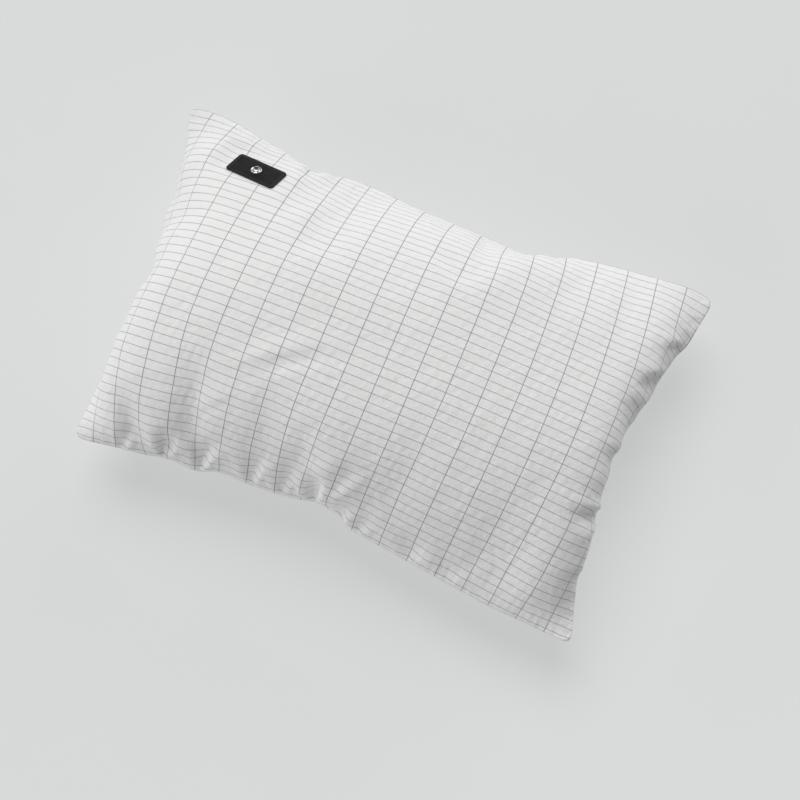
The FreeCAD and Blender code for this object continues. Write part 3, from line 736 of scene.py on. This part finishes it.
def make_insert():
    edge = np.full(INSERT_COLUMNS + 1, HALF_WIDTH)
    u, v = flat_grid(INSERT_ROWS, INSERT_COLUMNS, -edge, edge)
    layers = []
    for face, surface, side in (("front", front_surface, 1), ("back", back_surface, -1)):
        outer = insert_surface(surface, side, u, v, TICKING_DEPTH)
        unevenness = TICKING_UNEVENNESS * waves(u, v, 20 * MM, 60 * MM, 31)
        outer = outer + normals_of(outer, side) * unevenness[..., None]
        name = "insert_" + face + "_cloth"
        piece = sheet_mesh(name, outer, side, np.full(u.shape, TICKING), np.dstack([u, v]))
        stand_in(piece, "insert_" + face + "_ticking", "ticking")
        layer = insert_surface(surface, side, u * WADDING_SHARE, v * WADDING_SHARE, WADDING_DEPTH)
        lumps = WADDING_LUMPS * (waves(u, v, 18 * MM, 45 * MM, 37) - 1)
        layers.append((layer + normals_of(layer, side) * lumps[..., None]).reshape(-1, 3))
    faces = grid_faces(INSERT_ROWS, INSERT_COLUMNS)
    faces += grid_faces(INSERT_ROWS, INSERT_COLUMNS, u.size, True)
    rim = rim_of(INSERT_ROWS, INSERT_COLUMNS)
    for a, b in zip(rim, rim[1:] + rim[:1]):
        faces.append((b, a, u.size + a, u.size + b))
    places = np.concatenate([np.dstack([u, v]).reshape(-1, 2)] * 2)
    fill = mesh_object("insert_wadding", np.concatenate(layers), faces, places)
    stand_in(fill, "insert_fill", "fibre_fill")


def seam_runs(inset, margin, shrink):
    """Lines inside a seam, one for each side and short of its corners, with the direction inwards."""
    half_u = HALF_LENGTH - margin
    half_v = HALF_WIDTH - margin
    corners = np.array([(-half_u, -half_v), (half_u, -half_v), (half_u, half_v), (-half_u, half_v)])
    for start, end in zip(corners, np.roll(corners, -1, axis=0)):
        short = THREAD_GAP / np.linalg.norm(end - start)
        places = start + (end - start) * np.linspace(short, 1 - short, 90)[:, None]
        line = read_grid(middle_grid, places[:, 0], places[:, 1]) * [shrink, shrink, 1]
        inward = np.cross(UPWARDS, np.gradient(line, axis=0))
        inward /= np.linalg.norm(inward, axis=1, keepdims=True)
        yield line + inward * inset, inward


def overlock(name, node, inset, width, margin=0, shrink=1):
    """Looped thread that closes the edges inside a seam: a zigzag over the edge and a row of stitches."""
    parts = []
    for line, inward in seam_runs(inset, margin, shrink):
        steps = lengths_along(line)
        count = int(steps[-1] / LOOP_PITCH) * 2
        at = np.linspace(0, steps[-1] - LOOP_PITCH, count)
        across = np.where(np.arange(count) % 2 == 0, 0.0, width)[:, None]
        rise = np.where(np.arange(count) % 4 < 2, LOOP_RISE, -LOOP_RISE)[:, None]
        loops = read_along(line, steps, at) + read_along(inward, steps, at) * across + UPWARDS * rise
        parts.append(tube(loops, 0.22 * MM, 5))
        parts.append(stitches(line + inward * width * 0.9, UPWARDS, 3 * MM, 0.5 * MM, 0.25 * MM))
    stand_in(mesh_object(name, *joined(parts)), node, "white_thread")


# ---- the patch and its press stud

def rounded_outline(half_length, half_width, radius, count=24):
    """Points of a rounded rectangle in millimetres, with count points round each corner."""
    points = []
    for k, (sx, sy) in enumerate(((1, 1), (-1, 1), (-1, -1), (1, -1))):
        for m in range(count):
            turn = math.pi / 2 * (k + m / (count - 1))
            x = sx * (half_length - radius) + radius * math.cos(turn)
            y = sy * (half_width - radius) + radius * math.sin(turn)
            points.append((x, y))
    return np.array(points)


def plate(outline_at, profile):
    """Plate with a round hole, built from rings: profile is (inset from the edge, height), bottom to top."""
    rings = [np.insert(outline_at(inset), 2, z, axis=1) for inset, z in profile]
    ends = []
    for source in (rings[-1], rings[0]):
        direction = source[:, :2] / np.linalg.norm(source[:, :2], axis=1, keepdims=True)
        ends.append([np.insert(direction * radius, 2, source[0, 2], axis=1)
                     for radius in (RIVET_HOLE + HOLE_RING, RIVET_HOLE)])
    rings = ends[1][::-1] + rings + ends[0]
    rings.append(rings[0])
    return np.concatenate(rings), ring_faces(len(rings), len(rings[0]))


def lathe(profile, sides=96):
    """Round body about local Z through (radius, height) pairs in millimetres."""
    turn = np.arange(sides) * 2 * math.pi / sides
    points = [np.column_stack([radius * np.cos(turn), radius * np.sin(turn), np.full(sides, height)])
              for radius, height in profile]
    return np.concatenate(points), ring_faces(len(profile), sides)


def softened(profile, rounds=2):
    """The same profile with each corner cut twice, which leaves small rounded edges."""
    line = np.array(profile, float)
    for _ in range(rounds):
        ahead = np.roll(line, -1, axis=0)
        line = np.stack([line * 0.82 + ahead * 0.18, line * 0.18 + ahead * 0.82], 1).reshape(-1, 2)
    return np.vstack([line, line[:1]])


def make_patch():
    def outline(inset):
        return rounded_outline(PATCH_HALF_LENGTH - inset, PATCH_HALF_WIDTH - inset, max(4 - inset, 1.2))

    crest = PATCH_CREST
    profile = [
        (0.5, 0.4), (0.12, 0.45), (0.0, 0.7), (0.0, 1.55), (0.08, 1.85), (0.28, 2.05), (0.6, 2.16),
        (1.0, crest), (2.15, crest), (2.4, 2.16), (2.6, 2.04), (2.85, 1.98), (3.1, 2.04), (3.3, 2.16),
        (3.55, crest), (5.5, crest)]
    fitting("contact_patch_moulding", "contact_patch", "patch_rubber", [plate(outline, profile)], PATCH)

    def backing_outline(inset):
        return rounded_outline(PATCH_HALF_LENGTH + 2 - inset, PATCH_HALF_WIDTH + 2 - inset, 4 - inset)

    profile = [(0.3, -1.8), (0.0, -1.65), (0.0, -1.35), (0.3, -1.2)]
    fitting("contact_patch_interlining", "contact_patch_backing", "backing_cloth",
            [plate(backing_outline, profile)], PATCH)

    loop = rounded_outline(PATCH_HALF_LENGTH - 2.85, PATCH_HALF_WIDTH - 2.85, 1.35, 12)
    path = np.insert(np.vstack([loop, loop[:1]]), 2, 2.12, axis=1)
    fitting("contact_patch_thread", "contact_patch_stitching", "black_thread",
            [stitches(path, UPWARDS, 2.6, 0.5, 0.24)], PATCH)

    cap = softened([
        (1.7, crest), (6.25, crest), (6.25, crest + 0.7), (5.5, crest + 1.3), (4.6, crest + 0.6),
        (3.2, crest + 0.6), (3.2, crest + 3.3), (3.0, crest + 3.6), (2.7, crest + 3.3), (2.7, crest + 0.8),
        (1.7, crest + 0.8)])
    fitting("press_stud_cap", "snap_stud", "stud_metal", [lathe(cap)], PATCH)


# ---- the zip

def soft_power(value, power):
    return np.sign(value) * np.abs(value) ** power


def tape_strip(y_middle):
    """Woven tape: a thin strip along local X with soft edges and a slight wave, in millimetres."""
    length, width, low, high, wave = 376, 13, -2.0, -1.4, 0.075
    along = np.linspace(-length / 2, length / 2, 190)
    turn = 2 * math.pi * np.arange(20) / 20
    y = y_middle + width / 2 * soft_power(np.cos(turn), 0.35)
    z = (low + high) / 2 + (high - low) / 2 * soft_power(np.sin(turn), 0.5)
    ripple = wave * np.sin(along / 9.0) * np.sin(along / 23.0)
    points = np.zeros((len(along), len(turn), 3))
    points[..., 0] = along[:, None]
    points[..., 1] = y
    points[..., 2] = z + ripple[:, None]
    faces = ring_faces(len(along), len(turn), True)
    faces.append(tuple(range(len(turn))))
    faces.append(tuple((len(along) - 1) * len(turn) + m for m in range(len(turn)))[::-1])
    return points.reshape(-1, 3), faces


def coil_path(sign):
    """Flattened helix of one side of the zip, with a longer head where it meets the other side."""
    length, pitch, per_turn = 340.0, 1.7, 14
    angle = np.arange(int(length / pitch) * per_turn) * 2 * math.pi / per_turn
    y = 1.85 - 0.98 * soft_power(np.cos(angle), 0.8)
    z = -0.32 + 0.76 * np.sin(angle)
    x = -length / 2 + pitch * angle / (2 * math.pi) + (pitch / 2 if sign > 0 else 0)
    return np.column_stack([np.clip(x, -length / 2 + 0.3, length / 2 - 0.3), sign * y, z])


def tack_path(middle):
    """Dense zigzag of a bar tack across the zip, centred at a place along it."""
    length, width, pitch = 1.9, 11.8, 0.38
    step = np.arange(int(width / pitch))
    x = middle + np.where(step % 2 == 0, -length / 2, length / 2)
    y = np.linspace(-width / 2, width / 2, len(step))
    return np.column_stack([x, y, 0.42 + 0.06 * np.sin(step * 1.9)])


def lengthwise(half_length, y, z, count):
    """Straight line along the zip, in millimetres."""
    line = np.full((count, 3), (0.0, y, z))
    line[:, 0] = np.linspace(-half_length, half_length, count)
    return line


def make_zip():
    for side, sign in (("strip", 1), ("main", -1)):
        fitting("zip_tape_cloth_" + side, "zip_tape_" + side, "zip_tape", [tape_strip(sign * 7.5)], ZIP)
        coil = tube(coil_path(sign), 0.3, 6)
        cord = tube(lengthwise(169.5, sign * 2.15, -0.32, 200), 0.36, 8)
        fitting("zip_coil_loops_" + side, "zip_coil_" + side, "zip_coil", [coil, cord], ZIP)
        row = stitches(lengthwise(175, sign * 9.0, 0.12, 60), UPWARDS, 3.1, 0.6, 0.24)
        fitting("zip_topstitch_thread_" + side, "zip_topstitch_" + side, "white_thread", [row], ZIP)
    tacks = [tube(tack_path(middle), 0.2, 5) for middle in (-183, 183)]
    fitting("zip_bar_tack_thread", "zip_bar_tacks", "white_thread", tacks, ZIP)


# ---- materials

class Finish:
    """A material with one Principled shader, and short calls for the nodes that feed it."""

    def __init__(self, name, **values):
        self.material = bpy.data.materials.new(name)
        self.material.use_nodes = True
        self.tree = self.material.node_tree
        self.shader = self.tree.nodes["Principled BSDF"]
        for label, value in values.items():
            self.shader.inputs[label.replace("_", " ")].default_value = value

    def node(self, kind, inputs=(), **settings):
        made = self.tree.nodes.new(kind)
        for label, value in settings.items():
            setattr(made, label, value)
        for place, value in dict(inputs).items():
            if isinstance(value, bpy.types.NodeSocket):
                self.tree.links.new(value, made.inputs[place])
            else:
                made.inputs[place].default_value = value
        return made

    def math(self, operation, first, second=0.0, third=0.0):
        return self.node("ShaderNodeMath", {0: first, 1: second, 2: third}, operation=operation).outputs[0]

    def flat_place(self):
        """X and Y on the flat cloth, in metres."""
        mapped = self.node("ShaderNodeUVMap", uv_map="Cloth").outputs[0]
        split = self.node("ShaderNodeSeparateXYZ", {0: mapped})
        return mapped, split.outputs[0], split.outputs[1]

    def object_place(self):
        return self.node("ShaderNodeTexCoord").outputs["Object"]

    def noise(self, place, scale, detail=3.0, rough=0.55, stretch=None):
        if stretch:
            place = self.node("ShaderNodeMapping", {0: place, 3: stretch}).outputs[0]
        inputs = {"Vector": place, "Scale": scale, "Detail": detail, "Roughness": rough}
        return self.node("ShaderNodeTexNoise", inputs).outputs[0]

    def ranged(self, value, low, high, out_low, out_high):
        inputs = {0: value, 1: low, 2: high, 3: out_low, 4: out_high}
        return self.node("ShaderNodeMapRange", inputs).outputs[0]

    def mixed(self, share, first, second):
        """First colour where share is 0, second where it is 1."""
        return self.node("ShaderNodeMix", {0: share, 6: first, 7: second}, data_type="RGBA").outputs[2]

    def line(self, place, pitch, offset, width):
        """1 on lines at pitch along one direction, with soft edges."""
        shifted = self.math("SUBTRACT", place, offset)
        away = self.math("PINGPONG", shifted, pitch / 2)
        return self.ranged(away, width * 0.62, width * 0.38, 0.0, 1.0)

    def weave(self, along, across, pitch):
        """Height of a plain weave: threads over and under each other at pitch."""
        turns = [self.math("MULTIPLY", place, math.pi / pitch) for place in (along, across)]
        return self.math("MULTIPLY", self.math("SINE", turns[0]), self.math("SINE", turns[1]))

    def bump(self, height, distance, strength=1.0, under=None):
        inputs = {"Strength": strength, "Distance": distance, "Height": height}
        if under:
            inputs["Normal"] = under
        return self.node("ShaderNodeBump", inputs).outputs[0]

    def feed(self, **sockets):
        """Joins each named input of the shader to a socket, and gives the material."""
        for label, socket in sockets.items():
            self.tree.links.new(socket, self.shader.inputs[label.replace("_", " ")])
        return self.material


def cloth_finish(name, white, dark, pitch, grid=False):
    """Woven cotton: thread weave, slubs, a faint crumple, and for the cover its grey grid."""
    made = Finish(name, Roughness=0.9, Sheen_Weight=0.25, Sheen_Roughness=0.6, Specular_IOR_Level=0.25)
    place, along, across = made.flat_place()
    slubs = [made.noise(place, 420, 2.0, 0.6, stretch) for stretch in ((1, 9, 1), (9, 1, 1))]
    slubs = made.math("ADD", slubs[0], slubs[1])
    blotch = made.noise(place, 24, 4.0, 0.6)
    shade = made.ranged(slubs, 0.7, 1.3, 0.0, 1.0)
    shade = made.math("MULTIPLY_ADD", blotch, 0.5, made.math("MULTIPLY", shade, 0.5))
    colour = made.mixed(shade, dark, white)
    normal = made.bump(made.weave(along, across, pitch), 0.06 * MM, 0.55)
    normal = made.bump(made.noise(place, 130, 5.0, 0.62), 1.8 * MM, 0.7, normal)
    normal = made.bump(slubs, 0.12 * MM, 0.5, normal)
    if grid:
        wobble = made.noise(place, 60, 1.0)
        moved_x = made.math("MULTIPLY_ADD", wobble, 0.5 * MM, along)
        moved_y = made.math("MULTIPLY_ADD", wobble, 0.5 * MM, across)
        long_lines = made.line(moved_y, LONG_PITCH, LONG_PLACE, LONG_LINE)
        cross_lines = made.line(moved_x, CROSS_PITCH, CROSS_PLACE, CROSS_LINE)
        worn = made.ranged(made.noise(place, 900, 2.0), 0.35, 0.65, 0.72, 1.0)
        lines = made.math("MAXIMUM", made.math("MULTIPLY", long_lines, 0.85), cross_lines)
        lines = made.math("MULTIPLY", lines, worn)
        colour = made.mixed(lines, colour, (0.2, 0.2, 0.205, 1))
        normal = made.bump(lines, 0.08 * MM, 0.6, normal)
    return made.feed(Base_Color=colour, Normal=normal)


def thread_finish(name, colour, shade):
    """Fine fibres across a matte thread or a plain backing cloth."""
    made = Finish(name, Roughness=0.75, Sheen_Weight=0.3)
    fibre = made.noise(made.object_place(), 2600, 3.0, 0.7, (1, 1, 3))
    return made.feed(Base_Color=made.mixed(fibre, shade, colour), Normal=made.bump(fibre, 0.1 * MM, 0.7))


def rubber_finish(name, low, high, dusty):
    """Moulded rubber: a fine grain, smudges, and a little dust."""
    made = Finish(name, Specular_IOR_Level=0.3)
    place = made.object_place()
    grain = made.noise(place, 3200, 2.0, 0.5)
    smudge = made.noise(place, 90, 4.0, 0.6)
    dust = made.ranged(made.noise(place, 520, 5.0, 0.7), 0.58, 0.78, 0.0, 0.35)
    return made.feed(
        Base_Color=made.mixed(dust, made.mixed(smudge, low, high), dusty),
        Roughness=made.ranged(smudge, 0.3, 0.7, 0.26, 0.42), Normal=made.bump(grain, 0.08 * MM, 0.35))


def metal_finish(name, colour, dull, low, high):
    """Plated metal: fine turning scratches, fingerprints, and duller plate in patches."""
    made = Finish(name, Metallic=1.0)
    place = made.object_place()
    scratch = made.noise(place, 1800, 3.0, 0.6, (1, 6, 6))
    print_marks = made.noise(place, 240, 4.0, 0.6)
    wear = made.math("ADD", scratch, print_marks)
    return made.feed(
        Base_Color=made.mixed(print_marks, dull, colour), Roughness=made.ranged(wear, 0.7, 1.3, low, high),
        Normal=made.bump(scratch, 0.02 * MM, 0.4))


def plastic_finish(name, colour, shade):
    """Moulded plastic with faint flow marks."""
    made = Finish(name, Roughness=0.42, Subsurface_Weight=0.15, Subsurface_Scale=1 * MM)
    flow = made.noise(made.object_place(), 700, 3.0, 0.6)
    return made.feed(
        Base_Color=made.mixed(flow, shade, colour), Roughness=made.ranged(flow, 0.3, 0.7, 0.34, 0.5),
        Normal=made.bump(flow, 0.04 * MM, 0.3))


def tape_finish(name, dark, white):
    """Zip tape: herringbone twill along the tape."""
    made = Finish(name, Roughness=0.85, Sheen_Weight=0.2)
    place = made.object_place()
    split = made.node("ShaderNodeSeparateXYZ", {0: place})
    band = made.math("PINGPONG", split.outputs[1], 1.1 * MM)
    twill = made.math("SINE", made.math("MULTIPLY", made.math("ADD", split.outputs[0], band), 9000.0))
    shade = made.math("MULTIPLY_ADD", twill, 0.25, made.noise(place, 2200, 2.0, 0.6))
    return made.feed(Base_Color=made.mixed(shade, dark, white), Normal=made.bump(shade, 0.12 * MM, 0.7))


def wadding_finish(name, dark, white):
    """Loose fibre in clumps."""
    made = Finish(name, Roughness=0.95, Sheen_Weight=0.6, Subsurface_Weight=0.1, Subsurface_Scale=4 * MM)
    place = made.object_place()
    fibre = made.noise(place, 900, 6.0, 0.75, (1, 3, 2))
    clump = made.noise(place, 45, 3.0, 0.6)
    shade = made.math("MULTIPLY_ADD", clump, 0.5, made.math("MULTIPLY", fibre, 0.5))
    return made.feed(Base_Color=made.mixed(shade, dark, white), Normal=made.bump(fibre, 1.2 * MM, 0.8))


def floor_finish():
    """Pale sheet lit through from below, which keeps the shadows on it faint."""
    made = Finish("floor_finish", Roughness=0.9, Specular_IOR_Level=0.1, Emission_Strength=FLOOR_GLOW)
    mottle = made.noise(made.object_place(), 7, 2.0)
    return made.feed(
        Base_Color=made.mixed(mottle, (0.28, 0.288, 0.286, 1), (0.29, 0.298, 0.296, 1)),
        Emission_Color=made.mixed(mottle, (0.975, 1.0, 0.99, 1), (0.985, 1.01, 1.0, 1)))


# For each material slot: the function that makes its material, and that function's values.
FINISHES = {
    "cover_cloth": (cloth_finish, (0.87, 0.87, 0.865, 1), (0.80, 0.80, 0.795, 1), 0.38 * MM, True),
    "ticking": (cloth_finish, (0.82, 0.81, 0.785, 1), (0.74, 0.73, 0.70, 1), 0.5 * MM),
    "white_thread": (thread_finish, (0.85, 0.85, 0.84, 1), (0.6, 0.6, 0.59, 1)),
    "black_thread": (thread_finish, (0.03, 0.03, 0.032, 1), (0.008, 0.008, 0.008, 1)),
    "backing_cloth": (thread_finish, (0.74, 0.74, 0.72, 1), (0.6, 0.6, 0.58, 1)),
    "patch_rubber": (rubber_finish, (0.004, 0.004, 0.0045, 1), (0.009, 0.009, 0.01, 1),
                     (0.03, 0.03, 0.031, 1)),
    "stud_metal": (metal_finish, (0.80, 0.80, 0.81, 1), (0.62, 0.62, 0.63, 1), 0.12, 0.28),
    "slider_metal": (metal_finish, (0.70, 0.70, 0.70, 1), (0.5, 0.5, 0.5, 1), 0.24, 0.42),
    "washer_plastic": (plastic_finish, (0.85, 0.85, 0.84, 1), (0.75, 0.75, 0.74, 1)),
    "zip_coil": (plastic_finish, (0.84, 0.84, 0.83, 1), (0.74, 0.74, 0.73, 1)),
    "zip_tape": (tape_finish, (0.6, 0.6, 0.59, 1), (0.84, 0.84, 0.83, 1)),
    "fibre_fill": (wadding_finish, (0.72, 0.72, 0.71, 1), (0.9, 0.9, 0.9, 1))}
made_finishes = {}


def paint(piece, slot):
    """Gives a piece, or a CAD node, the one material made for a slot."""
    if slot not in made_finishes:
        maker, *values = FINISHES[slot]
        made_finishes[slot] = maker(slot + "_finish", *values)
    piece.data.materials.clear()
    piece.data.materials.append(made_finishes[slot])


def paint_cad_nodes():
    """CAD nodes that stay in sight take their own slot's material."""
    slots = {row["node"]: row["material_slot"] for row in frame["record"]["subparts"]}
    for name, node in frame["nodes"].items():
        if not node.hide_render:
            paint(node, slots[name])


# ---- floor, light and camera

def make_floor():
    half, level = 6.0, -0.2 * MM
    points = [(-half, -half, level), (half, -half, level), (half, half, level), (-half, half, level)]
    floor = mesh_object("studio_floor", points, [(0, 1, 2, 3)])
    floor.data.materials.append(floor_finish())


def make_sun(name, azimuth, height, strength):
    """Distant soft light from a direction given in degrees: azimuth from +X towards +Y, and height."""
    azimuth, height = math.radians(azimuth), math.radians(height)
    towards = (math.cos(height) * math.cos(azimuth), math.cos(height) * math.sin(azimuth), math.sin(height))
    light = bpy.data.lights.new(name, "SUN")
    light.angle = math.radians(40)
    light.energy = strength
    lamp = bpy.data.objects.new(name, light)
    lamp.rotation_mode = "QUATERNION"
    lamp.rotation_quaternion = Vector(towards).to_track_quat("Z", "Y")
    bpy.context.scene.collection.objects.link(lamp)


def make_light():
    """Weak even light from all round, a main lamp, and three low ones that fill its shadows."""
    world = bpy.data.worlds.new("studio")
    world.use_nodes = True
    background = world.node_tree.nodes["Background"].inputs
    background[0].default_value = (1.0, 1.0, 1.0, 1)
    background[1].default_value = WORLD_LIGHT
    bpy.context.scene.world = world
    make_sun("key", 120, 55, 1.9)
    make_sun("low_fill", 240, 15, 1.0)
    make_sun("top_fill", 75, 15, 0.93)
    make_sun("side_fill", 180, 15, 0.36)


def make_camera():
    """Looks down on the pillow from a little towards the near side and the right, rolled to the left."""
    distance, aside, below = 2.0, 14.1 * MM, 31.5 * MM
    across, tilt, roll = math.radians(5), math.radians(10), math.radians(20.8)
    x, y = math.sin(across), -math.sin(tilt)
    direction = Vector((x, y, math.sqrt(1 - x * x - y * y)))
    right = (-direction).cross(Vector((-math.sin(roll), math.cos(roll), 0))).normalized()
    up = right.cross(-direction)
    camera = bpy.data.objects.new("camera", bpy.data.cameras.new("camera"))
    camera.data.lens = 82.8
    camera.data.clip_start = 0.05
    camera.data.clip_end = 50
    place = Vector((0, 0, SEAM_Z)) + direction * distance + right * aside - up * below
    camera.matrix_world = plane_matrix(place, right, up, direction)
    bpy.context.scene.collection.objects.link(camera)
    bpy.context.scene.camera = camera
    bpy.context.scene.view_settings.view_transform = "Standard"


# ---- making everything

make_cover()
make_insert()
overlock("cover_seam_thread", "cover_seam_overlock", 2.5 * MM, 4.5 * MM)
overlock("insert_edge_thread", "insert_seam_thread", 1 * MM, 2.5 * MM, INSERT_THREAD, INSERT_DRAWN_IN)
make_patch()
make_zip()
paint_cad_nodes()
make_floor()
make_light()
make_camera()
